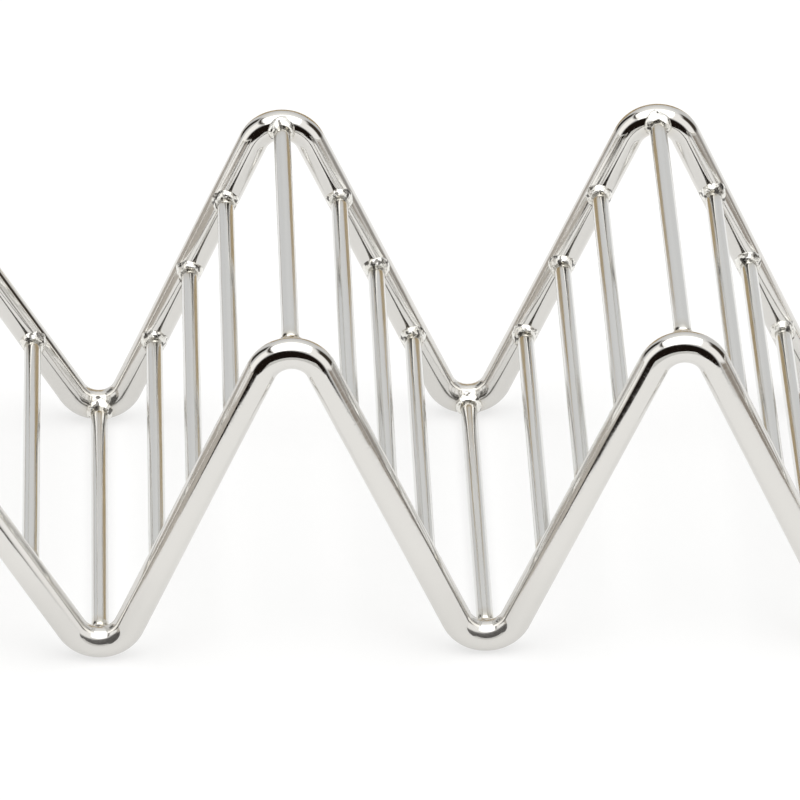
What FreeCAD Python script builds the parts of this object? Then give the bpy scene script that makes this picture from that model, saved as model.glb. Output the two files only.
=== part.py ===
"""Wire toast rack: two wave-bent frame wires joined by straight cross rods, all butt-welded.

Frame: +X along the rack, +Y to the rear, +Z up. The origin is under the middle valley, midway
between the two frame wires, on the surface that the rack stands on. Millimetres and degrees.

Each frame wire is one length of round wire. It runs from the middle of one end bar, round a corner,
down the end arm, through three valleys and two peaks, and up to the middle of the other end bar.
The two wires mirror each other and are butt-welded where their ends meet. A cross rod lies in every
valley, on every peak and at equal heights up every leg, with its ends coped to the frame wires.
"""

import FreeCAD, Part
import math
import os

import Sketcher
from FreeCAD import Placement, Rotation, Vector

SIZES = [
    # alias, value, meaning
    ("wire_diameter", 5.0, "round wire of the two frame wires"),
    ("rod_diameter", 2.8, "round wire of the cross rods"),
    ("pitch", 62.0, "valley to valley, along the rack"),
    ("rise", 53.0, "valley to peak, between wire centres"),
    ("depth", 75.0, "front wire to rear wire, between wire centres"),
    ("bend_radius", 5.2, "valleys and peaks, at the wire's centre"),
    ("arm_angle", 59.0, "end arms above the horizontal"),
    ("corner_radius", 8.0, "corners from arm to end bar, at the wire's centre"),
    ("rods_per_leg", 3, "rods between a valley rod and a peak rod"),
    ("weld_leg", 0.7, "how far a rod's weld fillet stands out from the rod"),
    ("weld_height", 0.6, "how far the fillet climbs the rod from the frame wire"),
    ("butt_weld_length", 1.2, "weld metal between the two frame wires' ends"),
    ("butt_weld_flash", 0.12, "how far that weld stands out from the wire"),
]

# The sheet's derived values, as expressions on its cells. CENTRE is the height of a valley's centreline.
CENTRE = "sizes.wire_diameter / 2"
LEG_SPAN = "sizes.pitch / 2"
LEG_CLIMB = "(sizes.rise - 2 * sizes.bend_radius)"
LEG_ANGLE = (
    f"(atan({LEG_CLIMB} / ({LEG_SPAN}))"
    f" + asin(2 * sizes.bend_radius / sqrt(pow({LEG_SPAN}; 2) + pow({LEG_CLIMB}; 2))))"
)
ARM_ANGLE = "(sizes.arm_angle * 1 deg)"
END_BAR_X = (
    f"(sizes.pitch + sizes.bend_radius * sin({ARM_ANGLE})"
    f" + (sizes.rise - sizes.bend_radius * (1 - cos({ARM_ANGLE}))) / tan({ARM_ANGLE}))"
)
END_BAR_Z = f"({CENTRE} + sizes.rise)"
BAR_END_Y = "(sizes.butt_weld_length / 2)"


def new_sheet(doc):
    """The spreadsheet of driving dimensions."""
    sheet = doc.addObject("Spreadsheet::Sheet", "sizes")
    for row, (alias, value, meaning) in enumerate(SIZES, start=1):
        sheet.set(f"A{row}", alias)
        sheet.set(f"B{row}", str(value))
        sheet.setAlias(f"B{row}", alias)
        sheet.set(f"C{row}", meaning)
    doc.recompute()
    return sheet


def origin_plane(body, role):
    """One of a body's own origin planes."""
    return next(o for o in body.Origin.OriginFeatures if o.Role == role)


def new_sketch(body, name, role):
    """An empty sketch on one of the body's origin planes."""
    sketch = body.newObject("Sketcher::SketchObject", name)
    sketch.AttachmentSupport = [(origin_plane(body, role), "")]
    sketch.MapMode = "FlatFace"
    return sketch


def bind(sketch, constraint, name, expression):
    """Adds a dimension to a sketch and ties it to the sheet."""
    index = sketch.addConstraint(constraint)
    sketch.renameConstraint(index, name)
    sketch.setExpression(f"Constraints.{name}", expression)


def arc(centre, radius, start, end):
    """An anticlockwise arc for a sketch, between two angles in radians."""
    circle = Part.Circle(Vector(*centre, 0), Vector(0, 0, 1), radius)
    return Part.ArcOfCircle(circle, start, end)


def line(start, end):
    return Part.LineSegment(Vector(*start, 0), Vector(*end, 0))


def on_circle(centre, radius, angle):
    return (centre[0] + radius * math.cos(angle), centre[1] + radius * math.sin(angle))


def leg_angle(size):
    """A leg's angle above the horizontal: the inner tangent of a valley bend and a peak bend."""
    span, climb = size.pitch / 2, size.rise - 2 * size.bend_radius
    return math.atan2(climb, span) + math.asin(2 * size.bend_radius / math.hypot(span, climb))


def wave_path(body, size):
    """Half of the wave: from the middle valley over a peak and through a valley to an end arm's top."""
    sketch = new_sketch(body, "wave_path", "XZ_Plane")
    sketch.setExpression("AttachmentOffset.Base.z", "sizes.depth / 2")
    radius, down, quarter = size.bend_radius, -math.pi / 2, math.pi / 2
    leg, arm = leg_angle(size), math.radians(size.arm_angle)
    base = size.wire_diameter / 2
    valley = (0, base + radius)
    peak = (size.pitch / 2, base + size.rise - radius)
    next_valley = (size.pitch, base + radius)
    arm_foot = on_circle(next_valley, radius, down + arm)
    arm_top_z = base + size.rise - size.corner_radius * math.sin(arm)
    arm_top = (arm_foot[0] + (arm_top_z - arm_foot[1]) / math.tan(arm), arm_top_z)
    shapes = [
        arc(valley, radius, down, down + leg),
        line(on_circle(valley, radius, down + leg), on_circle(peak, radius, quarter + leg)),
        arc(peak, radius, quarter - leg, quarter + leg),
        line(on_circle(peak, radius, quarter - leg), on_circle(next_valley, radius, down - leg)),
        arc(next_valley, radius, down - leg, down + arm),
        line(arm_foot, arm_top),
    ]
    first_bend, rising, peak_bend, falling, last_bend, end_arm = sketch.addGeometry(shapes, False)
    start, end, centre = 1, 2, 3
    origin, origin_point, z_axis = -1, 1, -2
    for one, its_end, other, other_end in (
        (first_bend, end, rising, start),
        (rising, end, peak_bend, end),
        (peak_bend, start, falling, start),
        (falling, end, last_bend, start),
        (last_bend, end, end_arm, start),
    ):
        sketch.addConstraint(Sketcher.Constraint("Tangent", one, its_end, other, other_end))
    sketch.addConstraint(Sketcher.Constraint("PointOnObject", first_bend, centre, z_axis))
    sketch.addConstraint(Sketcher.Constraint("PointOnObject", first_bend, start, z_axis))

    def place(name, kind, piece, point, value, expression):
        constraint = Sketcher.Constraint(kind, origin, origin_point, piece, point, value)
        bind(sketch, constraint, name, expression)

    place("base", "DistanceY", first_bend, start, base, CENTRE)
    place("peak_x", "DistanceX", peak_bend, centre, peak[0], "sizes.pitch / 2")
    place("peak_z", "DistanceY", peak_bend, centre, peak[1], f"{END_BAR_Z} - sizes.bend_radius")
    place("valley_x", "DistanceX", last_bend, centre, next_valley[0], "sizes.pitch")
    place("valley_z", "DistanceY", last_bend, centre, next_valley[1], f"{CENTRE} + sizes.bend_radius")
    for name, piece in (("first", first_bend), ("peak", peak_bend), ("last", last_bend)):
        constraint = Sketcher.Constraint("Radius", piece, radius)
        bind(sketch, constraint, f"{name}_radius", "sizes.bend_radius")
    bind(sketch, Sketcher.Constraint("Angle", end_arm, arm), "arm_angle", ARM_ANGLE)
    arm_top_height = f"{END_BAR_Z} - sizes.corner_radius * sin({ARM_ANGLE})"
    place("arm_top", "DistanceY", end_arm, end, arm_top_z, arm_top_height)
    return sketch


def wire_section(body, name, role, size, across, up):
    """A circle of the frame wire on an origin plane. Across and up are (value, expression) pairs."""
    sketch = new_sketch(body, name, role)
    centre = Vector(across[0], up[0], 0)
    circle = sketch.addGeometry(Part.Circle(centre, Vector(0, 0, 1), size.wire_diameter / 2), False)
    diameter = Sketcher.Constraint("Diameter", circle, size.wire_diameter)
    bind(sketch, diameter, "diameter", "sizes.wire_diameter")
    for label, kind, (value, expression) in (("across", "DistanceX", across), ("up", "DistanceY", up)):
        bind(sketch, Sketcher.Constraint(kind, -1, 1, circle, 3, value), label, expression)
    return sketch


def corner_path(body, size):
    """Half an end bar and its corner, in the sloping plane of the end arm.

    The sketch's origin is where the bar's centreline meets the arm's, its x axis runs up the arm and
    its y axis runs to the rear.
    """
    sketch = new_sketch(body, "corner_path", "XY_Plane")
    slope = Rotation(Vector(0, -1, 0), size.arm_angle)
    sketch.AttachmentOffset = Placement(Vector(0, -size.depth / 2, 0), slope)
    sketch.setExpression("AttachmentOffset.Base.x", END_BAR_X)
    sketch.setExpression("AttachmentOffset.Base.y", "-sizes.depth / 2")
    sketch.setExpression("AttachmentOffset.Base.z", END_BAR_Z)
    sketch.setExpression("AttachmentOffset.Rotation.Angle", ARM_ANGLE)
    radius, bar_end = size.corner_radius, (size.depth - size.butt_weld_length) / 2
    shapes = [line((0, bar_end), (0, radius)), arc((-radius, radius), radius, -math.pi / 2, 0)]
    bar, corner = sketch.addGeometry(shapes, False)
    sketch.addConstraint(Sketcher.Constraint("Tangent", bar, 2, corner, 2))
    sketch.addConstraint(Sketcher.Constraint("Vertical", bar))
    sketch.addConstraint(Sketcher.Constraint("PointOnObject", corner, 1, -1))
    sketch.addConstraint(Sketcher.Constraint("Vertical", corner, 1, corner, 3))
    bind(sketch, Sketcher.Constraint("Radius", corner, radius), "radius", "sizes.corner_radius")
    inset = Sketcher.Constraint("DistanceX", corner, 3, -1, 1, radius)
    bind(sketch, inset, "inset", "sizes.corner_radius")
    reach = Sketcher.Constraint("DistanceY", -1, 1, bar, 1, bar_end)
    bind(sketch, reach, "bar_end", f"sizes.depth / 2 - {BAR_END_Y}")
    return sketch


def swept(body, name, section, path):
    """A section swept along a path of straight runs and tangent arcs."""
    pipe = body.newObject("PartDesign::AdditivePipe", name)
    pipe.Profile = section
    pipe.Spine = path
    return pipe


def front_frame_wire(doc, size):
    """The front frame wire: half a wave, half an end bar and their mirror image."""
    body = doc.addObject("PartDesign::Body", "front_frame_wire")
    base = size.wire_diameter / 2
    depth = (-size.depth / 2, "-sizes.depth / 2")
    wave_section = wire_section(body, "wave_section", "YZ_Plane", size, depth, (base, CENTRE))
    half_wave = swept(body, "half_wave", wave_section, wave_path(body, size))
    doc.recompute()
    arm = math.radians(size.arm_angle)
    drop = size.bend_radius * (1 - math.cos(arm))
    bar_x = size.pitch + size.bend_radius * math.sin(arm) + (size.rise - drop) / math.tan(arm)
    across, up = (bar_x, END_BAR_X), (base + size.rise, END_BAR_Z)
    bar_section = wire_section(body, "bar_section", "XZ_Plane", size, across, up)
    bar_section.setExpression("AttachmentOffset.Base.z", BAR_END_Y)
    half_bar = swept(body, "half_bar", bar_section, corner_path(body, size))
    doc.recompute()
    both_halves = body.newObject("PartDesign::Mirrored", "both_halves")
    both_halves.Originals = [half_wave, half_bar]
    both_halves.MirrorPlane = (origin_plane(body, "YZ_Plane"), [""])
    body.Tip = both_halves
    doc.recompute()
    return body


def mirrored_to_rear(doc, name, front):
    """A front part's mirror image behind the XZ plane."""
    rear = doc.addObject("Part::Mirroring", name)
    rear.Source = front
    rear.Normal = Vector(0, 1, 0)
    return rear


def rod_places(size):
    """Each rod's name, with expressions for its x and for its height above the valleys' centreline."""
    count = int(size.rods_per_leg)
    places = {"middle_valley_rod": ("0", "0")}
    for side, sign in (("left", "-"), ("right", "")):
        places[f"{side}_peak_rod"] = (f"{sign}sizes.pitch / 2", "sizes.rise")
        places[f"{side}_valley_rod"] = (f"{sign}sizes.pitch", "0")
        for number in range(1, count + 1):
            height = f"sizes.rise * {number} / (sizes.rods_per_leg + 1)"
            from_middle = f"({height} - sizes.rise / 2) / tan({LEG_ANGLE})"
            inner = f"{sign}(sizes.pitch / 4 + {from_middle})"
            outer = f"{sign}(sizes.pitch * 3 / 4 - {from_middle})"
            arm = f"{sign}({END_BAR_X} - (sizes.rise - {height}) / tan({ARM_ANGLE}))"
            places[f"{side}_inner_leg_rod_{number}"] = (inner, height)
            places[f"{side}_outer_leg_rod_{number}"] = (outer, height)
            places[f"{side}_arm_rod_{number}"] = (arm, height)
    return places


def lying_along_y(doc, kind, name, x, y, z, **dimensions):
    """A cylinder or cone whose axis runs to the rear from a point, all set by expressions."""
    turned = doc.addObject(kind, name)
    turned.Placement = Placement(Vector(), Rotation(Vector(1, 0, 0), -90))
    for dimension, expression in dimensions.items():
        turned.setExpression(dimension, expression)
    for axis, expression in (("x", x), ("y", y), ("z", z)):
        turned.setExpression(f"Placement.Base.{axis}", expression)
    return turned


def cross_rod(doc, name, place, frame_pair):
    """A straight rod between the frame wires' centrelines, coped where they pass."""
    blank = lying_along_y(doc, "Part::Cylinder", f"{name}_blank",
                          place[0], "-sizes.depth / 2", f"{CENTRE} + {place[1]}",
                          Radius="sizes.rod_diameter / 2", Height="sizes.depth")
    rod = doc.addObject("Part::Cut", name)
    rod.Base = blank
    rod.Tool = frame_pair
    return rod


def rod_weld(doc, name, place):
    """A front fillet's outside: a sleeve round the rod as far as the wire's skin, then a cone."""
    x, z = place[0], f"{CENTRE} + {place[1]}"
    foot = "(sizes.rod_diameter / 2 + sizes.weld_leg)"
    buried = "(sizes.wire_diameter / 4)"
    skin = f"(-sizes.depth / 2 + {CENTRE})"
    sleeve = lying_along_y(doc, "Part::Cylinder", f"{name}_weld_sleeve", x, f"{skin} - {buried}", z,
                           Radius=foot, Height=buried)
    cone = lying_along_y(doc, "Part::Cone", f"{name}_weld_cone", x, skin, z,
                         Radius1=foot, Radius2="sizes.rod_diameter / 2", Height="sizes.weld_height")
    weld = doc.addObject("Part::Fuse", f"{name}_weld")
    weld.Base = sleeve
    weld.Tool = cone
    return weld


def front_rod_welds(doc, places, frame_pair, rods):
    """The fillets along the front wire, one round each rod's end, less the wire and the rods."""
    outsides = doc.addObject("Part::Compound", "front_weld_outsides")
    outsides.Links = [rod_weld(doc, name, place) for name, place in places.items()]
    off_wire = doc.addObject("Part::Cut", "front_welds_off_wire")
    off_wire.Base = outsides
    off_wire.Tool = frame_pair
    all_rods = doc.addObject("Part::Compound", "all_rods")
    all_rods.Links = rods
    welds = doc.addObject("Part::Cut", "front_rod_welds")
    welds.Base = off_wire
    welds.Tool = all_rods
    return welds


def end_bar_welds(doc):
    """The two butt welds, each a short collar of weld metal between the frame wires' ends."""
    collars = []
    for side, sign in (("left", "-"), ("right", "")):
        collar = lying_along_y(doc, "Part::Cylinder", f"{side}_butt_weld",
                               f"{sign}{END_BAR_X}", f"-{BAR_END_Y}", END_BAR_Z,
                               Radius=f"{CENTRE} + sizes.butt_weld_flash",
                               Height="sizes.butt_weld_length")
        collars.append(collar)
    welds = doc.addObject("Part::Compound", "end_bar_welds")
    welds.Links = collars
    return welds


def check(doc, parts):
    """Stops if any object failed to recompute, or a sub-part has no valid shape."""
    for item in doc.Objects:
        if "Invalid" in item.State or "Error" in item.State:
            raise RuntimeError(f"{item.Label} failed: {item.State}")
    for part in parts:
        if part.Shape.isNull() or not part.Shape.isValid() or not part.Shape.Solids:
            raise RuntimeError(f"{part.Label} has no valid solid")


def main():
    doc = FreeCAD.newDocument("toast_rack")
    size = new_sheet(doc)
    front = front_frame_wire(doc, size)
    rear = mirrored_to_rear(doc, "rear_frame_wire", front)
    frame_pair = doc.addObject("Part::Compound", "frame_pair")
    frame_pair.Links = [front, rear]
    places = rod_places(size)
    rods = [cross_rod(doc, name, place, frame_pair) for name, place in places.items()]
    front_welds = front_rod_welds(doc, places, frame_pair, rods)
    rear_welds = mirrored_to_rear(doc, "rear_rod_welds", front_welds)
    parts = [front, rear, *rods, front_welds, rear_welds, end_bar_welds(doc)]
    doc.recompute()
    check(doc, parts)
    os.makedirs("parts", exist_ok=True)
    for part in parts:
        part.Shape.exportStep(f"parts/{part.Label}.step")
        solids = part.Shape.Solids
        print(f"{part.Label}: {len(solids)} solid(s), {sum(s.Volume for s in solids):.1f} mm3")


main()
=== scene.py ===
"""Looks and studio for a welded wire toast rack, laid out as a Blender add-on and run as a script.

The wires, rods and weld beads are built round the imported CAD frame, in metres, in its own axes.
"""

import math

import bmesh
import bpy
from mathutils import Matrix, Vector


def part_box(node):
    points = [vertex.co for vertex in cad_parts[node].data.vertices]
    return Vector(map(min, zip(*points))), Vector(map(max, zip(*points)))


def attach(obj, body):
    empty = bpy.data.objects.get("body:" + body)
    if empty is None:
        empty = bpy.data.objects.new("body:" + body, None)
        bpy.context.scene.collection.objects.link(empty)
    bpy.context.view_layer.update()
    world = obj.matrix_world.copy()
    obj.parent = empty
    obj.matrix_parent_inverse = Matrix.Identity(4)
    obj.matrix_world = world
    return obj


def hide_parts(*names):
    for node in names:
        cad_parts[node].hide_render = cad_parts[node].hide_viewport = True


bl_info = {
    "name": "Wire toast rack",
    "version": (1, 0, 0),
    "blender": (4, 5, 0),
    "location": "View3D > Sidebar > Toast rack",
    "description": "Builds a polished wire toast rack and its studio",
    "category": "Object",
}

MM = 0.001
BODY = "root"

# How finely the round pieces are divided.
WIRE_SIDES = 64
WIRE_BEND_STEPS = 28
ROD_SIDES = 48
ROD_STEPS = 24

# The width of a lump in a rod's weld and in a butt weld, and how far a butt weld wanders.
FILLET_LUMP_SIZE = 1.3 * MM
COLLAR_LUMP_SIZE = 0.8 * MM
COLLAR_UNEVENNESS = 0.02 * MM

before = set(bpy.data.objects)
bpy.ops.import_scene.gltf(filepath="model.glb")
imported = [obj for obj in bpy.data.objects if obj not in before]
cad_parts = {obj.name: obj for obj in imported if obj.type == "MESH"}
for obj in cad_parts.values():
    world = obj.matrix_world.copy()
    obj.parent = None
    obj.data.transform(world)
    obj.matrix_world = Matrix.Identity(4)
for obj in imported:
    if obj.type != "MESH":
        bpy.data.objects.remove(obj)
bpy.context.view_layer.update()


def linear(hex_colour):
    """An sRGB hex colour as linear red, green and blue."""
    channels = [int(hex_colour[i : i + 2], 16) / 255 for i in (1, 3, 5)]
    return tuple(c / 12.92 if c <= 0.04045 else ((c + 0.055) / 1.055) ** 2.4 for c in channels)


def middle(node):
    """The middle of a CAD node's box."""
    low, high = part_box(node)
    return (low + high) / 2


def width(node):
    """A CAD node's size along X: a rod's is its diameter at the cope-free middle."""
    low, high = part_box(node)
    return high.x - low.x


# ---------------------------------------------------------------- sizes and finishes


class RackSizes(bpy.types.PropertyGroup):
    """Sizes of the rack's pieces."""

    wire_diameter: bpy.props.FloatProperty(
        name="Frame wire", description="Diameter of the two bent wires", default=5 * MM, unit="LENGTH")
    rod_diameter: bpy.props.FloatProperty(
        name="Cross rod", description="Diameter of the straight rods",
        default=round(width("middle_valley_rod"), 5), unit="LENGTH")
    bend_radius: bpy.props.FloatProperty(
        name="Bend", description="Radius of a valley or peak at the wire's centre",
        default=5.2 * MM, unit="LENGTH")
    corner_radius: bpy.props.FloatProperty(
        name="End corner", description="Radius from an end arm to its end bar",
        default=8 * MM, unit="LENGTH")
    fillet_leg: bpy.props.FloatProperty(
        name="Fillet leg", description="How far a weld spreads over the frame wire",
        default=0.85 * MM, unit="LENGTH")
    fillet_height: bpy.props.FloatProperty(
        name="Fillet height", description="How far a weld climbs its rod",
        default=0.9 * MM, unit="LENGTH")
    fillet_fullness: bpy.props.FloatProperty(
        name="Fullness", description="0 is a hollow fillet, 1 a round bead",
        default=0.75, min=0, max=1, subtype="FACTOR")
    lump: bpy.props.FloatProperty(
        name="Unevenness", description="How far weld metal wanders from its smooth shape",
        default=0.3 * MM, unit="LENGTH")


class RackFinish(bpy.types.PropertyGroup):
    """Colours and polish of the rack's metal."""

    steel: bpy.props.FloatVectorProperty(
        name="Polished steel", description="Reflection colour of the mirror-polished wire",
        default=linear("#DBD9D5"), subtype="COLOR", min=0, max=1)
    drawn: bpy.props.FloatVectorProperty(
        name="Drawn steel", description="Reflection colour of the bright-drawn rods",
        default=linear("#DFDFDD"), subtype="COLOR", min=0, max=1)
    bloom: bpy.props.FloatProperty(
        name="Valley bloom", description="How satin the wire is where a buffing wheel can't reach",
        default=0.25, min=0, max=1, subtype="FACTOR")
    weld: bpy.props.FloatVectorProperty(
        name="Weld metal", description="Reflection colour of the weld beads",
        default=linear("#F0EFEB"), subtype="COLOR", min=0, max=1)
    straw: bpy.props.FloatVectorProperty(
        name="Heat tint", description="Straw colour that welding leaves beside a bead",
        default=linear("#C3B28C"), subtype="COLOR", min=0, max=1)


class RackStudio(bpy.types.PropertyGroup):
    """The camera, floor and lights."""

    aim: bpy.props.FloatVectorProperty(
        name="Aim", description="Point in the middle of the picture",
        default=(-12.66 * MM, 0, 24.51 * MM), unit="LENGTH", subtype="TRANSLATION")
    distance: bpy.props.FloatProperty(
        name="Distance", description="Camera to aim", default=1.391, unit="LENGTH")
    elevation: bpy.props.FloatProperty(
        name="Elevation", description="Camera above the horizon",
        default=math.radians(30.51), unit="ROTATION")
    swing: bpy.props.FloatProperty(
        name="Swing", description="Camera to the left of straight on",
        default=math.radians(1.84), unit="ROTATION")
    lens: bpy.props.FloatProperty(
        name="Lens", description="Focal length in millimetres", default=383.8, unit="CAMERA")
    softbox_power: bpy.props.FloatProperty(
        name="Softbox", description="Overhead lamp", default=2.3, unit="POWER")
    room: bpy.props.FloatProperty(
        name="Room", description="Strength of the surroundings", default=1.0, min=0)


# ---------------------------------------------------------------- node helpers


def add(tree, kind, inputs=None, **settings):
    """Adds a node with its settings, and its inputs as values or as links from other nodes' outputs."""
    node = tree.nodes.new(kind)
    for name, value in settings.items():
        setattr(node, name, value)
    for key, value in (inputs or {}).items():
        if isinstance(value, bpy.types.NodeSocket):
            tree.links.new(value, node.inputs[key])
        else:
            node.inputs[key].default_value = value
    return node


def new_tree(name, sockets):
    """A Geometry Nodes tree with a geometry input and output and other named inputs."""
    tree = bpy.data.node_groups.new(name, "GeometryNodeTree")
    tree.is_modifier = True
    tree.interface.new_socket("Geometry", in_out="OUTPUT", socket_type="NodeSocketGeometry")
    tree.interface.new_socket("Geometry", in_out="INPUT", socket_type="NodeSocketGeometry")
    for label, kind in sockets:
        tree.interface.new_socket(label, in_out="INPUT", socket_type=f"NodeSocket{kind}")
    return tree, add(tree, "NodeGroupInput").outputs


def close_tree(tree, geometry, material):
    """Ends a tree: real geometry, smooth faces and a material."""
    real = add(tree, "GeometryNodeRealizeInstances", {"Geometry": geometry})
    smooth = add(tree, "GeometryNodeSetShadeSmooth", {"Geometry": real.outputs[0]})
    dressed = add(tree, "GeometryNodeSetMaterial", {"Geometry": smooth.outputs[0], "Material": material})
    add(tree, "NodeGroupOutput", {"Geometry": dressed.outputs[0]})


def run_tree(name, source, tree, values):
    """Runs a tree on a mesh and returns the result as an object with a plain mesh."""
    piece = bpy.data.objects.new(name, source)
    bpy.context.scene.collection.objects.link(piece)
    modifier = piece.modifiers.new(tree.name, "NODES")
    modifier.node_group = tree
    for item in tree.interface.items_tree:
        if item.in_out == "INPUT" and item.name in values:
            modifier[item.identifier] = values[item.name]
    depsgraph = bpy.context.evaluated_depsgraph_get()
    made = bpy.data.meshes.new_from_object(
        piece.evaluated_get(depsgraph), preserve_all_data_layers=True, depsgraph=depsgraph)
    if not made.polygons:
        raise RuntimeError(f"{name} came out empty")
    piece.modifiers.remove(modifier)
    piece.data = made
    made.name = name
    bpy.data.meshes.remove(source)
    return piece


def point_mesh(name, points, edges=(), **attributes):
    """A mesh of bare points, with attributes for a tree to read."""
    mesh = bpy.data.meshes.new(name)
    mesh.from_pydata(points, edges, [])
    for label, values in attributes.items():
        if isinstance(values[0], (tuple, Vector)):
            layer = mesh.attributes.new(label, "FLOAT_VECTOR", "POINT")
            layer.data.foreach_set("vector", [c for value in values for c in value])
        else:
            layer = mesh.attributes.new(label, "FLOAT", "POINT")
            layer.data.foreach_set("value", values)
    return mesh


# ---------------------------------------------------------------- the rack's layout, from the frame


def rods():
    """Every cross rod's node name."""
    return sorted(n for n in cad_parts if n.endswith("_rod") or ("_rod_" in n and "welds" not in n))


def rod_points():
    """The middle of every cross rod."""
    return [tuple(middle(rod)) for rod in rods()]


def weld_points(size, side):
    """Where the rods meet one frame wire's centreline. Side is -1 in front."""
    y = side * (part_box("rear_frame_wire")[1].y - size.wire_diameter / 2)
    return [(x, y, z) for x, _, z in rod_points()]


def leg_line(leg):
    """A leg's centreline as a point on it and its direction, through its lowest and highest rods."""
    low, high = middle(f"{leg}_rod_1"), middle(f"{leg}_rod_3")
    return low, (high - low).normalized()


def rod_slope(rod):
    """The frame wire's slope where a rod meets it, about the rod's own axis."""
    if "_rod_" not in rod:
        return 0.0
    _, direction = leg_line(rod[: rod.index("_rod_")])
    return math.atan2(direction.z, direction.x)


def crossing(one, other):
    """Where two leg lines cross in the XZ plane."""
    (point, way), (other_point, other_way) = one, other
    gap = other_point - point
    along = (gap.x * other_way.z - gap.z * other_way.x) / (way.x * other_way.z - way.z * other_way.x)
    return point + along * way


# From left to right.
LEGS = [
    "left_arm", "left_outer_leg", "left_inner_leg",
    "right_inner_leg", "right_outer_leg", "right_arm",
]


def wire_corners(size, side):
    """One frame wire's corner points before bending, and the bend radius at each.

    They run from the middle of the left end bar to the middle of the right one. Side is -1 in front.
    """
    lines = [leg_line(leg) for leg in LEGS]
    bar_z = middle("end_bar_welds").z
    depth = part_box("rear_frame_wire")[1].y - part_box("front_frame_wire")[0].y
    outer = side * (depth - size.wire_diameter) / 2
    weld_low, weld_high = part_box("end_bar_welds")
    bar_end = side * (weld_high.y - weld_low.y) / 2
    tops = []
    for point, direction in (lines[0], lines[-1]):
        tops.append(point + direction * (bar_z - point.z) / direction.z)
    vertices = [crossing(a, b) for a, b in zip(lines, lines[1:])]
    points = [(tops[0].x, bar_end, bar_z), (tops[0].x, outer, bar_z)]
    points += [(v.x, outer, v.z) for v in vertices]
    points += [(tops[1].x, outer, bar_z), (tops[1].x, bar_end, bar_z)]
    bends = [0.0, size.corner_radius] + [size.bend_radius] * len(vertices) + [size.corner_radius, 0.0]
    return points, bends


# ---------------------------------------------------------------- materials


def metal(name, colour, roughness):
    """A new metal material: its tree and its shader, at the default IOR."""
    material = bpy.data.materials.new(name)
    material.use_nodes = True
    tree = material.node_tree
    shader = tree.nodes["Principled BSDF"]
    shader.inputs["Base Color"].default_value = (*colour, 1)
    shader.inputs["Metallic"].default_value = 1.0
    shader.inputs["Roughness"].default_value = roughness
    return material, tree, shader


def uneven(tree, place, size, low, high, detail=2.0):
    """A value that wanders from low to high, in patches of about the given size in metres."""
    noise = add(tree, "ShaderNodeTexNoise", {"Vector": place, "Scale": 1 / size, "Detail": detail})
    # Most of the noise lies between 0.3 and 0.7.
    return add(tree, "ShaderNodeMapRange", {
        "Value": noise.outputs["Fac"], "From Min": 0.3, "From Max": 0.7, "To Min": low, "To Max": high,
    }).outputs["Result"]


def weld_heat(tree, reach):
    """1 on steel beside a weld and 0 beyond the heat's reach, from the piece's own weld_distance."""
    distance = add(tree, "ShaderNodeAttribute", attribute_name="weld_distance").outputs["Fac"]
    return add(tree, "ShaderNodeMapRange", {
        "Value": distance, "From Min": reach * 0.25, "From Max": reach, "To Min": 1.0, "To Max": 0.0,
    }, interpolation_type="SMOOTHSTEP").outputs["Result"]


def tinted(tree, steel, straw, heat, patches):
    """Steel turning towards straw where it was hot, unevenly."""
    amount = add(tree, "ShaderNodeMath", {0: heat, 1: patches}, operation="MULTIPLY").outputs[0]
    return add(tree, "ShaderNodeMix", {"Factor": amount, "A": (*steel, 1), "B": (*straw, 1)},
               data_type="RGBA").outputs["Result"]


def polished_wire(finish):
    """Cold-drawn 18/8 stainless wire, mirror-polished on a buff after bending.

    To the eye: sharp bright and black lines along the wire that wander a little where the buff
    dwelt, a faint haze of buffing marks round it, a satin bloom down in the valleys where the
    wheel doesn't reach, and a trace of straw beside the welds.
    """
    material, tree, shader = metal("stainless_wire_mirror_polished", tuple(finish.steel), 0.06)
    place = add(tree, "ShaderNodeTexCoord").outputs["Object"]
    patches = uneven(tree, place, 6 * MM, 0.0, 0.3)
    colour = tinted(tree, tuple(finish.steel), tuple(finish.straw), weld_heat(tree, 4 * MM), patches)
    tree.links.new(colour, shader.inputs["Base Color"])
    along = add(tree, "ShaderNodeAttribute", attribute_name="along").outputs["Fac"]
    around = add(tree, "ShaderNodeAttribute", attribute_name="around").outputs["Fac"]
    lay = add(tree, "ShaderNodeCombineXYZ", {"X": along, "Y": around}).outputs[0]
    # Buffing marks run round the wire and are about 0.05 mm apart; 0.3 mm is as fine as shows.
    round_wire = add(tree, "ShaderNodeMapping", {
        "Vector": lay, "Scale": (1, 0.004, 1)}).outputs["Vector"]
    tree.links.new(uneven(tree, round_wire, 0.3 * MM, 0.04, 0.13, 1.0), shader.inputs["Roughness"])
    dwell = add(tree, "ShaderNodeTexNoise", {"Vector": place, "Scale": 1 / (7 * MM), "Detail": 1.0})
    wave = add(tree, "ShaderNodeBump", {
        "Height": dwell.outputs["Fac"], "Distance": 0.03 * MM, "Strength": 1.0})
    tree.links.new(wave.outputs["Normal"], shader.inputs["Normal"])
    bloom = add(tree, "ShaderNodeBsdfPrincipled", {
        "Base Color": colour, "Metallic": 1.0, "Roughness": 0.55, "Normal": wave.outputs["Normal"]})
    height = add(tree, "ShaderNodeSeparateXYZ", {0: place}).outputs["Z"]
    unreached = add(tree, "ShaderNodeMapRange", {
        "Value": height, "From Min": 5 * MM, "From Max": 20 * MM, "To Min": finish.bloom, "To Max": 0.0,
    }, interpolation_type="SMOOTHSTEP").outputs["Result"]
    both = add(tree, "ShaderNodeMixShader", {0: unreached, 1: shader.outputs[0], 2: bloom.outputs[0]})
    tree.links.new(both.outputs[0], tree.nodes["Material Output"].inputs["Surface"])
    return material


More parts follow.
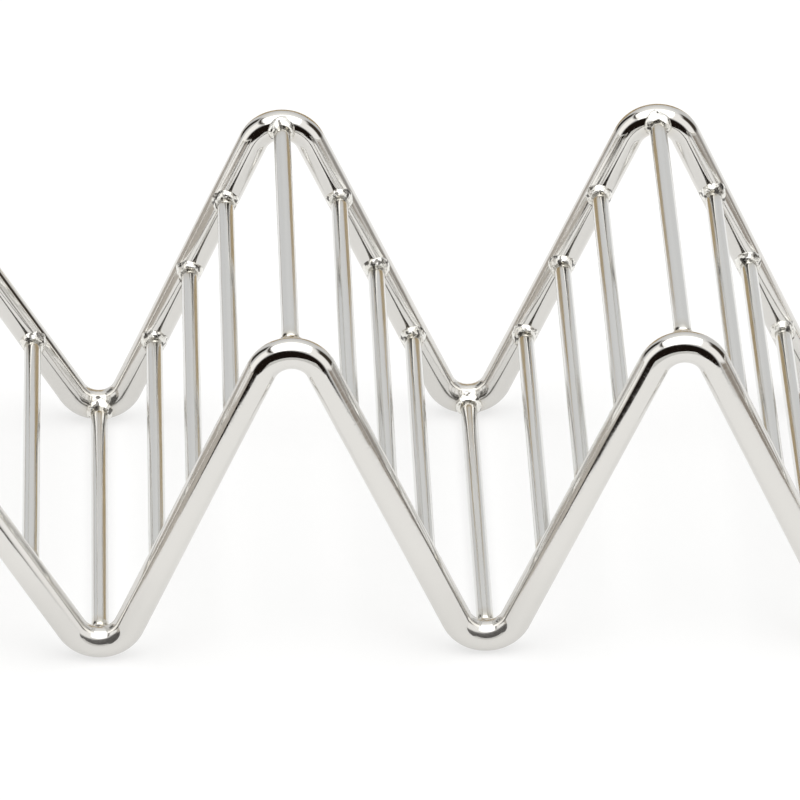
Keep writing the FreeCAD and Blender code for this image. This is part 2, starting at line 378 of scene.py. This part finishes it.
def drawn_rod(finish):
    """Bright-drawn stainless rod, tumbled but not buffed.

    To the eye: the same metal a little greyer and softer than the wire, with fine lines along it
    that the die left, and a breath of straw at each end beside the weld.
    """
    material, tree, shader = metal("stainless_rod_bright_drawn", tuple(finish.drawn), 0.14)
    place = add(tree, "ShaderNodeTexCoord").outputs["Object"]
    patches = uneven(tree, place, 3 * MM, 0.1, 0.5)
    colour = tinted(tree, tuple(finish.drawn), tuple(finish.straw), weld_heat(tree, 5 * MM), patches)
    tree.links.new(colour, shader.inputs["Base Color"])
    # Die lines run the rod's length and are about 0.02 mm apart; 0.25 mm is as fine as shows.
    line_size = 0.25 * MM
    lengthwise = add(tree, "ShaderNodeMapping", {
        "Vector": place, "Scale": (1, 0.01, 1)}).outputs["Vector"]
    tree.links.new(uneven(tree, lengthwise, line_size, 0.1, 0.22, 1.0), shader.inputs["Roughness"])
    lines = add(tree, "ShaderNodeTexNoise", {
        "Vector": lengthwise, "Scale": 1 / line_size, "Detail": 1.0}).outputs["Fac"]
    # The rod itself wavers over about 3 mm, four times as slowly along it.
    slow = add(tree, "ShaderNodeMapping", {"Vector": place, "Scale": (1, 0.25, 1)}).outputs["Vector"]
    waver = add(tree, "ShaderNodeTexNoise", {
        "Vector": slow, "Scale": 1 / (3 * MM), "Detail": 1.0}).outputs["Fac"]
    relief = add(tree, "ShaderNodeMath", {0: lines, 1: 0.02, 2: waver}, operation="MULTIPLY_ADD")
    bump = add(tree, "ShaderNodeBump", {
        "Height": relief.outputs[0], "Distance": 0.05 * MM, "Strength": 1.0})
    tree.links.new(bump.outputs["Normal"], shader.inputs["Normal"])
    return material


def weld_bead(finish):
    """Stainless weld metal, electropolished with the rack and never ground.

    To the eye: small bright lumps with soft ripples where the pool froze, and painted dark
    reflections: dark specks at random spots between them, painted into the colour.
    """
    material, tree, shader = metal("stainless_weld_electropolished", tuple(finish.weld), 0.2)
    place = add(tree, "ShaderNodeTexCoord").outputs["Object"]
    patches = uneven(tree, place, 1.5 * MM, 0.0, 0.12)
    clean = add(tree, "ShaderNodeMix", {
        "Factor": patches, "A": (*finish.weld, 1), "B": (*finish.straw, 1),
    }, data_type="RGBA").outputs["Result"]
    # Painted dark reflections: dark specks about 1 mm apart, where the noise is lowest.
    speck_noise = add(tree, "ShaderNodeTexNoise", {"Vector": place, "Scale": 1 / (1.1 * MM), "Detail": 1.0})
    painted_dark_specks = add(tree, "ShaderNodeMapRange", {
        "Value": speck_noise.outputs["Fac"], "From Min": 0.36, "From Max": 0.42, "To Min": 0.85, "To Max": 0.0,
    }, interpolation_type="SMOOTHSTEP").outputs["Result"]
    # Painted dark reflections: the specks pull the bead's colour towards dark brown.
    colour = add(tree, "ShaderNodeMix", {
        "Factor": painted_dark_specks, "A": clean, "B": (*linear("#2E2823"), 1)}, data_type="RGBA").outputs["Result"]
    tree.links.new(colour, shader.inputs["Base Color"])
    tree.links.new(uneven(tree, place, 0.6 * MM, 0.12, 0.32), shader.inputs["Roughness"])
    # Frozen ripples are about 0.4 mm apart; 0.7 mm is as fine as shows.
    ripples = add(tree, "ShaderNodeTexNoise", {"Vector": place, "Scale": 1 / (0.7 * MM), "Detail": 2.0})
    bump = add(tree, "ShaderNodeBump", {
        "Height": ripples.outputs["Fac"], "Distance": 0.14 * MM, "Strength": 1.0})
    tree.links.new(bump.outputs["Normal"], shader.inputs["Normal"])
    return material


# ---------------------------------------------------------------- Geometry Nodes trees


def near_welds(tree, geometry, marker):
    """Stores each vertex's distance to the nearest of the marker object's points as weld_distance."""
    points = add(tree, "GeometryNodeObjectInfo", {"Object": marker}).outputs["Geometry"]
    proximity = add(tree, "GeometryNodeProximity", {"Geometry": points}, target_element="POINTS")
    stored = add(tree, "GeometryNodeStoreNamedAttribute", {
        "Geometry": geometry, "Name": "weld_distance", "Value": proximity.outputs["Distance"],
    }, data_type="FLOAT", domain="POINT")
    return stored.outputs[0]


def bent_wire_tree():
    """Round wire swept along a line of corner points, each bent to its own radius."""
    tree, given = new_tree("bent_wire", [
        ("Wire Radius", "Float"), ("Bend Steps", "Int"), ("Sides", "Int"),
        ("Welds", "Object"), ("Material", "Material")])
    corners = add(tree, "GeometryNodeMeshToCurve", {"Mesh": given["Geometry"]}).outputs[0]
    radius = add(tree, "GeometryNodeInputNamedAttribute", {"Name": "bend"}, data_type="FLOAT").outputs[0]
    bent = add(tree, "GeometryNodeFilletCurve", {
        "Curve": corners, "Count": given["Bend Steps"], "Radius": radius}, mode="POLY").outputs[0]
    ring = add(tree, "GeometryNodeCurvePrimitiveCircle", {
        "Resolution": given["Sides"], "Radius": given["Wire Radius"]}, mode="RADIUS").outputs["Curve"]
    # The length along the wire and round it, which the buffing marks follow.
    marked = []
    for label, curve in (("along", bent), ("around", ring)):
        length = add(tree, "GeometryNodeSplineParameter").outputs["Length"]
        marked.append(add(tree, "GeometryNodeStoreNamedAttribute", {
            "Geometry": curve, "Name": label, "Value": length,
        }, data_type="FLOAT", domain="POINT").outputs[0])
    tube = add(tree, "GeometryNodeCurveToMesh", {
        "Curve": marked[0], "Profile Curve": marked[1], "Fill Caps": True}).outputs[0]
    close_tree(tree, near_welds(tree, tube, given["Welds"]), given["Material"])
    return tree


def rod_tree():
    """A straight rod centred on each point and lying along Y."""
    tree, given = new_tree("cross_rods", [
        ("Rod Radius", "Float"), ("Length", "Float"), ("Sides", "Int"), ("Lengthwise Steps", "Int"),
        ("Welds", "Object"), ("Material", "Material")])
    rod = add(tree, "GeometryNodeMeshCylinder", {
        "Vertices": given["Sides"], "Side Segments": given["Lengthwise Steps"],
        "Radius": given["Rod Radius"], "Depth": given["Length"]}).outputs["Mesh"]
    placed = add(tree, "GeometryNodeInstanceOnPoints", {
        "Points": given["Geometry"], "Instance": rod, "Rotation": (math.pi / 2, 0, 0)}).outputs[0]
    real = add(tree, "GeometryNodeRealizeInstances", {"Geometry": placed}).outputs[0]
    close_tree(tree, near_welds(tree, real, given["Welds"]), given["Material"])
    return tree


def weld_tree():
    """A weld's mesh at each point, turned by the point's turn attribute and made uneven."""
    tree, given = new_tree("welds", [
        ("Bead", "Object"), ("Unevenness", "Float"), ("Lump Size", "Float"), ("Seed", "Float"),
        ("Material", "Material")])
    bead = add(tree, "GeometryNodeObjectInfo", {"Object": given["Bead"]}).outputs["Geometry"]
    turn = add(tree, "GeometryNodeInputNamedAttribute", {"Name": "turn"}, data_type="FLOAT_VECTOR")
    placed = add(tree, "GeometryNodeInstanceOnPoints", {
        "Points": given["Geometry"], "Instance": bead, "Rotation": turn.outputs[0]}).outputs[0]
    real = add(tree, "GeometryNodeRealizeInstances", {"Geometry": placed}).outputs[0]
    place = add(tree, "GeometryNodeInputPosition").outputs[0]
    scale = add(tree, "ShaderNodeMath", {0: 1.0, 1: given["Lump Size"]}, operation="DIVIDE").outputs[0]
    noise = add(tree, "ShaderNodeTexNoise", {
        "Vector": place, "W": given["Seed"], "Scale": scale, "Detail": 1.0}, noise_dimensions="4D")
    # The noise's colour, from 0 to 1 on each axis, becomes a shift of up to the unevenness either way.
    centred = add(tree, "ShaderNodeVectorMath", {0: noise.outputs["Color"], 1: (0.5, 0.5, 0.5)},
                  operation="SUBTRACT").outputs[0]
    reach = add(tree, "ShaderNodeMath", {0: given["Unevenness"], 1: 2.0}, operation="MULTIPLY")
    shift = add(tree, "ShaderNodeVectorMath", {
        0: centred, "Scale": reach.outputs[0]}, operation="SCALE")
    wandering = add(tree, "GeometryNodeSetPosition", {"Geometry": real, "Offset": shift.outputs[0]})
    close_tree(tree, wandering.outputs[0], given["Material"])
    return tree


# ---------------------------------------------------------------- weld shapes


def closed_rings(name, rings):
    """A doughnut-like mesh through rings of points, the last joined to the first."""
    mesh = bpy.data.meshes.new(name)
    built = bmesh.new()
    loops = [[built.verts.new(p) for p in ring] for ring in rings]
    for here, there in zip(loops, loops[1:] + loops[:1]):
        for i, vert in enumerate(here):
            j = (i + 1) % len(here)
            built.faces.new((vert, here[j], there[j], there[i]))
    bmesh.ops.recalc_face_normals(built, faces=built.faces)
    built.to_mesh(mesh)
    built.free()
    return mesh


def fillet_mesh(size, sides=32, steps=8):
    """A weld between a rod along +Y and a frame wire along X, with its origin on both centrelines."""
    rod, wire = size.rod_diameter / 2, size.wire_diameter / 2
    full = size.fillet_fullness
    buried = 0.3 * MM
    skirt = []
    for step in range(steps + 1):
        angle = math.pi / 2 * step / steps
        out = (1 - full) * (1 - math.cos(angle)) + full * math.sin(angle)
        up = (1 - full) * (1 - math.sin(angle)) + full * math.cos(angle)
        skirt.append((rod + size.fillet_leg * out, size.fillet_height * up))
    profile = [(rod - buried, skirt[0][1] - buried), *skirt]
    profile += [(skirt[-1][0], -buried), (rod - buried, -buried)]
    rings = []
    for radius, height in profile:
        ring = []
        for i in range(sides):
            a = 2 * math.pi * i / sides
            across = radius * math.sin(a)
            ring.append((radius * math.cos(a), math.sqrt(wire**2 - across**2) + height, across))
        rings.append(ring)
    return closed_rings("rod_fillet", rings)


def collar_mesh(size, length, flash, sides=48, steps=10):
    """A butt weld's ring about Y, proud of the wire in the middle and flush at its edges."""
    wire = size.wire_diameter / 2
    bore = wire * 0.6
    profile = []
    for step in range(steps + 1):
        share = step / steps
        profile.append((wire + flash * math.sin(math.pi * share), (share - 0.5) * length))
    profile += [(bore, length / 2), (bore, -length / 2)]
    angles = [2 * math.pi * i / sides for i in range(sides)]
    rings = []
    for radius, y in profile:
        rings.append([(radius * math.cos(a), y, radius * math.sin(a)) for a in angles])
    return closed_rings("butt_collar", rings)


# ---------------------------------------------------------------- operators


class Builder(bpy.types.Operator):
    """Shared by the operators that build a piece."""

    bl_options = {"REGISTER", "UNDO"}

    def finish_piece(self, piece, slot, *nodes):
        """Says which body a piece rides on and hides the nodes it stands for. The slot, whose finish it
        would take, is not used.
        """
        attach(piece, BODY)
        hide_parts(*nodes)


def weld_marker(size):
    """An object of bare points on the frame wires' skins where the rods are welded."""
    inward = size.wire_diameter / 2
    points = [(x, y - side * inward, z) for side in (-1, 1) for x, y, z in weld_points(size, side)]
    return bpy.data.objects.new("weld_marker", point_mesh("weld_marker", points))


def drop(thing):
    """Removes a helper object and its mesh."""
    mesh = thing.data
    bpy.data.objects.remove(thing)
    bpy.data.meshes.remove(mesh)


class RACK_OT_frame_wires(Builder):
    """Sweep the front and rear frame wires"""

    bl_idname = "rack.frame_wires"
    bl_label = "Frame wires"

    def execute(self, context):
        size = context.scene.rack_sizes
        tree = bent_wire_tree()
        steel = polished_wire(context.scene.rack_finish)
        marker = weld_marker(size)
        for node, side in (("front_frame_wire", -1), ("rear_frame_wire", 1)):
            points, bends = wire_corners(size, side)
            edges = [(i, i + 1) for i in range(len(points) - 1)]
            path = point_mesh(node, points, edges, bend=bends)
            piece = run_tree(f"{node}_polished", path, tree, {
                "Wire Radius": size.wire_diameter / 2, "Bend Steps": WIRE_BEND_STEPS,
                "Sides": WIRE_SIDES, "Welds": marker, "Material": steel})
            self.finish_piece(piece, "frame_wire", node)
        drop(marker)
        return {"FINISHED"}


class RACK_OT_cross_rods(Builder):
    """Lay the straight rods between the frame wires"""

    bl_idname = "rack.cross_rods"
    bl_label = "Cross rods"

    def execute(self, context):
        size = context.scene.rack_sizes
        low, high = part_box(rods()[0])
        marker = weld_marker(size)
        piece = run_tree("cross_rods_drawn", point_mesh("rods", rod_points()), rod_tree(), {
            "Rod Radius": size.rod_diameter / 2, "Length": high.y - low.y, "Sides": ROD_SIDES,
            "Lengthwise Steps": ROD_STEPS, "Welds": marker,
            "Material": drawn_rod(context.scene.rack_finish)})
        self.finish_piece(piece, "cross_rod", *rods())
        drop(marker)
        return {"FINISHED"}


class RACK_OT_welds(Builder):
    """Lay a fillet round each rod's end and a ring at each butt weld"""

    bl_idname = "rack.welds"
    bl_label = "Welds"

    def execute(self, context):
        tree = weld_tree()
        bead = weld_bead(context.scene.rack_finish)
        self.lay_fillets(context.scene.rack_sizes, tree, bead)
        self.lay_collars(context.scene.rack_sizes, tree, bead)
        return {"FINISHED"}

    def lay_fillets(self, size, tree, bead):
        """A fillet round each rod's end, on both frame wires."""
        fillet = bpy.data.objects.new("rod_fillet", fillet_mesh(size))
        slopes = [rod_slope(rod) for rod in rods()]
        for node, side, seed in (("front_rod_welds", -1, 3.0), ("rear_rod_welds", 1, 8.0)):
            # A rear weld is a front one turned half round, so its slope changes sign.
            half_turn = math.pi if side > 0 else 0
            turns = [(0, side * slope, half_turn) for slope in slopes]
            points = point_mesh(node, weld_points(size, side), turn=turns)
            piece = run_tree(f"{node}_beads", points, tree, {
                "Bead": fillet, "Unevenness": size.lump, "Lump Size": FILLET_LUMP_SIZE, "Seed": seed,
                "Material": bead})
            self.finish_piece(piece, "weld_metal", node)
        drop(fillet)

    def lay_collars(self, size, tree, bead):
        """A ring at the butt weld in the middle of each end bar."""
        node = "end_bar_welds"
        low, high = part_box(node)
        flash = (high.z - low.z - size.wire_diameter) / 2
        reach = (high.x - low.x) / 2 - flash - size.wire_diameter / 2
        height = (low.z + high.z) / 2
        # The ring stays inside the CAD's, lumps and all.
        shape = collar_mesh(size, high.y - low.y, flash - COLLAR_UNEVENNESS)
        collar = bpy.data.objects.new("butt_collar", shape)
        points = point_mesh(node, [(-reach, 0, height), (reach, 0, height)], turn=[(0.0, 0.0, 0.0)] * 2)
        piece = run_tree(f"{node}_rings", points, tree, {
            "Bead": collar, "Unevenness": COLLAR_UNEVENNESS, "Lump Size": COLLAR_LUMP_SIZE, "Seed": 5.0,
            "Material": bead})
        self.finish_piece(piece, "weld_metal", node)
        drop(collar)


class RACK_OT_studio(Builder):
    """Set the floor, lights, surroundings and camera"""

    bl_idname = "rack.studio"
    bl_label = "Studio"

    def execute(self, context):
        studio = context.scene.rack_studio
        add_floor()
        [add_low_thing(*thing) for thing in LOW_THINGS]
        add_softbox(studio)
        set_surroundings(context.scene, studio)
        set_camera(context.scene, studio)
        return {"FINISHED"}


# ---------------------------------------------------------------- studio


# The board's share that the camera and the metal see evenly white, and how bright that white is.
BOARD_LIFT = 0.6
BOARD_WHITE = 1.05

SOFTBOX_SIZE = (0.9, 0.7)
SOFTBOX_PLACE = (0, -0.13, 0.62)

# The room's brightness below and above, and the heights in degrees between which it changes.
WALLS = (0.75, 0.75, 0.75)
CEILING = (1.15, 1.15, 1.14)
COVE = (20, 75)


def flat_sheet(name, corners, material):
    """A flat stage piece."""
    mesh = bpy.data.meshes.new(name)
    mesh.from_pydata(corners, [], [range(len(corners))])
    mesh.materials.append(material)
    sheet = bpy.data.objects.new(name, mesh)
    bpy.context.scene.collection.objects.link(sheet)
    return sheet


def add_floor():
    """A white board that the camera sees nearly shadowless, as under a bright backdrop light."""
    material = bpy.data.materials.new("white_board_matt")
    material.use_nodes = True
    tree = material.node_tree
    tree.nodes.clear()
    board = add(tree, "ShaderNodeBsdfDiffuse", {"Color": (*linear("#F8F8F7"), 1)}).outputs[0]
    path = add(tree, "ShaderNodeLightPath").outputs
    seen = path["Is Camera Ray"]
    for ray in ("Is Glossy Ray", "Is Transmission Ray"):
        seen = add(tree, "ShaderNodeMath", {0: seen, 1: path[ray]}, operation="MAXIMUM").outputs[0]
    lift = add(tree, "ShaderNodeMath", {0: seen, 1: BOARD_LIFT}, operation="MULTIPLY").outputs[0]
    glow = add(tree, "ShaderNodeEmission", {"Color": (1, 1, 1, 1), "Strength": BOARD_WHITE}).outputs[0]
    both = add(tree, "ShaderNodeMixShader", {0: lift, 1: board, 2: glow}).outputs[0]
    add(tree, "ShaderNodeOutputMaterial", {"Surface": both})
    left, right, back = -0.26, 0.42, 0.45
    # The board's front edge bows in a little at the middle.
    front = [(left, -0.232, 0), (-0.01, -0.198, 0), (right, -0.235, 0)]
    return flat_sheet("floor", [*front, (right, back, 0), (left, back, 0)], material)


# Low things that stand round the rack, out of shot: name, material and colour, the two ends of their
# run in plan, and the heights of their lower and upper edges.
LOW_THINGS = [
    # The bends show the card's top as the lower edge of the dark room.
    ("card", "card_white_matt", "#F4F4F2", (-0.115, -0.287), (0.085, -0.287), -0.03, 0.046),
    # The rods show the rail as one brown line on their inner side.
    ("rail", "maple_rail_oiled", "#C8B28C", (-0.105, 0.22), (0.105, 0.22), 0.005, 0.112),
    # The legs that face left show the tray's side as a dull band above the floor.
    ("tray", "oak_tray_limed", "#C6C0B9", (-0.26, 0.45), (-0.26, -0.17), 0.0, 0.041),
]


def add_low_thing(name, finish, colour, start, end, low, high):
    """An upright strip for the metal to reflect. It hides nothing and shades nothing."""
    material = bpy.data.materials.new(finish)
    material.use_nodes = True
    shader = material.node_tree.nodes["Principled BSDF"]
    shader.inputs["Base Color"].default_value = (*linear(colour), 1)
    shader.inputs["Roughness"].default_value = 0.5
    strip = flat_sheet(name, [(*start, low), (*end, low), (*end, high), (*start, high)], material)
    strip.visible_camera = False
    strip.visible_shadow = False
    strip.visible_diffuse = False
    return strip


def add_softbox(studio):
    """A large soft lamp overhead."""
    lamp = bpy.data.lights.new("softbox", "AREA")
    lamp.shape = "RECTANGLE"
    lamp.size, lamp.size_y = SOFTBOX_SIZE
    lamp.energy = studio.softbox_power
    box = bpy.data.objects.new("softbox", lamp)
    box.location = SOFTBOX_PLACE
    bpy.context.scene.collection.objects.link(box)


def patch(tree, under, turn, height, kind, centre, reach, soft, colour):
    """Paints a soft-edged panel or oval of the surroundings. Its centre and half-sizes are in degrees.

    Soft is how far its edge fades on either side, as a share of the smaller half-size.
    """
    spans = []
    for value, home, half in zip((turn, height), centre, reach):
        away = add(tree, "ShaderNodeMath", {0: value, 1: math.radians(home)}, operation="SUBTRACT")
        span = add(tree, "ShaderNodeMath", {
            0: away.outputs[0], 1: 1 / math.radians(half)}, operation="MULTIPLY")
        spans.append(span.outputs[0])
    # How far out the direction is, as a share of the way to the edge, and the edge's softness.
    if kind == "oval":
        pair = add(tree, "ShaderNodeCombineXYZ", {"X": spans[0], "Y": spans[1]}).outputs[0]
        out = add(tree, "ShaderNodeVectorMath", {0: pair}, operation="LENGTH").outputs["Value"]
        edges = [(out, soft)]
    else:
        edges = []
        for span, half in zip(spans, reach):
            out = add(tree, "ShaderNodeMath", {0: span}, operation="ABSOLUTE").outputs[0]
            edges.append((out, soft * min(reach) / half))
    mask = 1.0
    for out, fade in edges:
        inside = add(tree, "ShaderNodeMapRange", {
            "Value": out, "From Min": 1 - fade, "From Max": 1 + fade, "To Min": 1.0, "To Max": 0.0,
        }, interpolation_type="SMOOTHSTEP").outputs["Result"]
        mask = add(tree, "ShaderNodeMath", {0: mask, 1: inside}, operation="MULTIPLY").outputs[0]
    return add(tree, "ShaderNodeMix", {"Factor": mask, "A": under, "B": (*colour, 1)},
               data_type="RGBA").outputs["Result"]


# What stands round the table: shape, centre and half-size (turn from the front, positive to the right,
# and height, in degrees), softness of its edge, and brightness. Later ones hide earlier ones.
SURROUNDINGS = [
    ("panel", (-81, 19), (20, 25), 0.2, (1.25, 1.24, 1.22)),  # the window on the left
    ("panel", (-88, 48), (42, 3.5), 0.8, (0.05, 0.04, 0.03)),  # its top frame
    ("panel", (-127, 18), (11, 22), 0.35, (0.03, 0.025, 0.02)),  # the wall's corner beyond it
    ("panel", (-72, -8), (20, 6), 0.35, (0.22, 0.18, 0.15)),  # the dark table under it
    ("panel", (72, 30), (32, 32), 0.2, (1.15, 1.14, 1.13)),  # the pale screen on the right
    ("panel", (105, 18), (17, 20), 0.35, (0.05, 0.04, 0.03)),  # the gap beyond that screen
    ("panel", (82, -8), (26, 6.5), 0.35, (0.34, 0.30, 0.26)),  # the dark table under it
    ("oval", (-10, 2), (58, 47), 0.12, (0.012, 0.008, 0.006)),  # the dark room behind the camera
]


def set_surroundings(scene, studio):
    """White to the camera. To the metal and the floor, a pale room that is dark behind the camera."""
    world = bpy.data.worlds.new("studio_room")
    world.use_nodes = True
    tree = world.node_tree
    tree.nodes.clear()
    direction = add(tree, "ShaderNodeTexCoord").outputs["Generated"]
    axes = add(tree, "ShaderNodeSeparateXYZ", {0: direction}).outputs
    towards = add(tree, "ShaderNodeMath", {0: axes["Y"], 1: -1.0}, operation="MULTIPLY").outputs[0]
    turn = add(tree, "ShaderNodeMath", {0: axes["X"], 1: towards}, operation="ARCTAN2").outputs[0]
    height = add(tree, "ShaderNodeMath", {0: axes["Z"]}, operation="ARCSINE").outputs[0]
    rise = add(tree, "ShaderNodeMapRange", {
        "Value": height, "From Min": math.radians(COVE[0]), "From Max": math.radians(COVE[1]),
    }, interpolation_type="SMOOTHSTEP").outputs["Result"]
    around = add(tree, "ShaderNodeMix", {"Factor": rise, "A": (*WALLS, 1), "B": (*CEILING, 1)},
                 data_type="RGBA").outputs["Result"]
    for shape in SURROUNDINGS:
        around = patch(tree, around, turn, height, *shape)
    room = add(tree, "ShaderNodeBackground", {"Color": around, "Strength": studio.room}).outputs[0]
    white = add(tree, "ShaderNodeBackground", {"Color": (1, 1, 1, 1), "Strength": 1.0}).outputs[0]
    seen = add(tree, "ShaderNodeLightPath").outputs["Is Camera Ray"]
    both = add(tree, "ShaderNodeMixShader", {0: seen, 1: room, 2: white}).outputs[0]
    add(tree, "ShaderNodeOutputWorld", {"Surface": both})
    scene.world = world
    scene.view_settings.view_transform = "Standard"


def set_camera(scene, studio):
    """A long lens from above and slightly to the left."""
    level = math.cos(studio.elevation)
    down = math.sin(studio.elevation)
    ahead = Vector((math.sin(studio.swing) * level, math.cos(studio.swing) * level, -down))
    data = bpy.data.cameras.new("camera")
    data.sensor_width = 36
    data.lens = studio.lens
    data.clip_start, data.clip_end = 0.05, 20
    camera = bpy.data.objects.new("camera", data)
    camera.location = Vector(studio.aim) - ahead * studio.distance
    camera.rotation_euler = ahead.to_track_quat("-Z", "Y").to_euler()
    scene.collection.objects.link(camera)
    scene.camera = camera


# ---------------------------------------------------------------- panel and registration


class RACK_PT_panel(bpy.types.Panel):
    """The rack's sizes, finishes and builders"""

    bl_label = "Toast rack"
    bl_space_type = "VIEW_3D"
    bl_region_type = "UI"
    bl_category = "Toast rack"

    def draw(self, context):
        """Lists every size, finish and studio setting, then the builders."""
        for group in (context.scene.rack_sizes, context.scene.rack_finish, context.scene.rack_studio):
            for name in group.__annotations__:
                self.layout.prop(group, name)
        for operator in OPERATORS:
            self.layout.operator(operator.bl_idname)


GROUPS = {"rack_sizes": RackSizes, "rack_finish": RackFinish, "rack_studio": RackStudio}
OPERATORS = [RACK_OT_frame_wires, RACK_OT_cross_rods, RACK_OT_welds, RACK_OT_studio]
CLASSES = [*GROUPS.values(), *OPERATORS, RACK_PT_panel]


def register():
    """Registers the classes and hangs the property groups on the scene."""
    for cls in CLASSES:
        bpy.utils.register_class(cls)
    for name, group in GROUPS.items():
        setattr(bpy.types.Scene, name, bpy.props.PointerProperty(type=group))


def unregister():
    """Undoes register."""
    for name in GROUPS:
        delattr(bpy.types.Scene, name)
    for cls in reversed(CLASSES):
        bpy.utils.unregister_class(cls)


def main():
    """Builds the rack and its studio."""
    register()
    bpy.ops.rack.frame_wires()
    bpy.ops.rack.cross_rods()
    bpy.ops.rack.welds()
    bpy.ops.rack.studio()


if __name__ == "__main__":
    main()
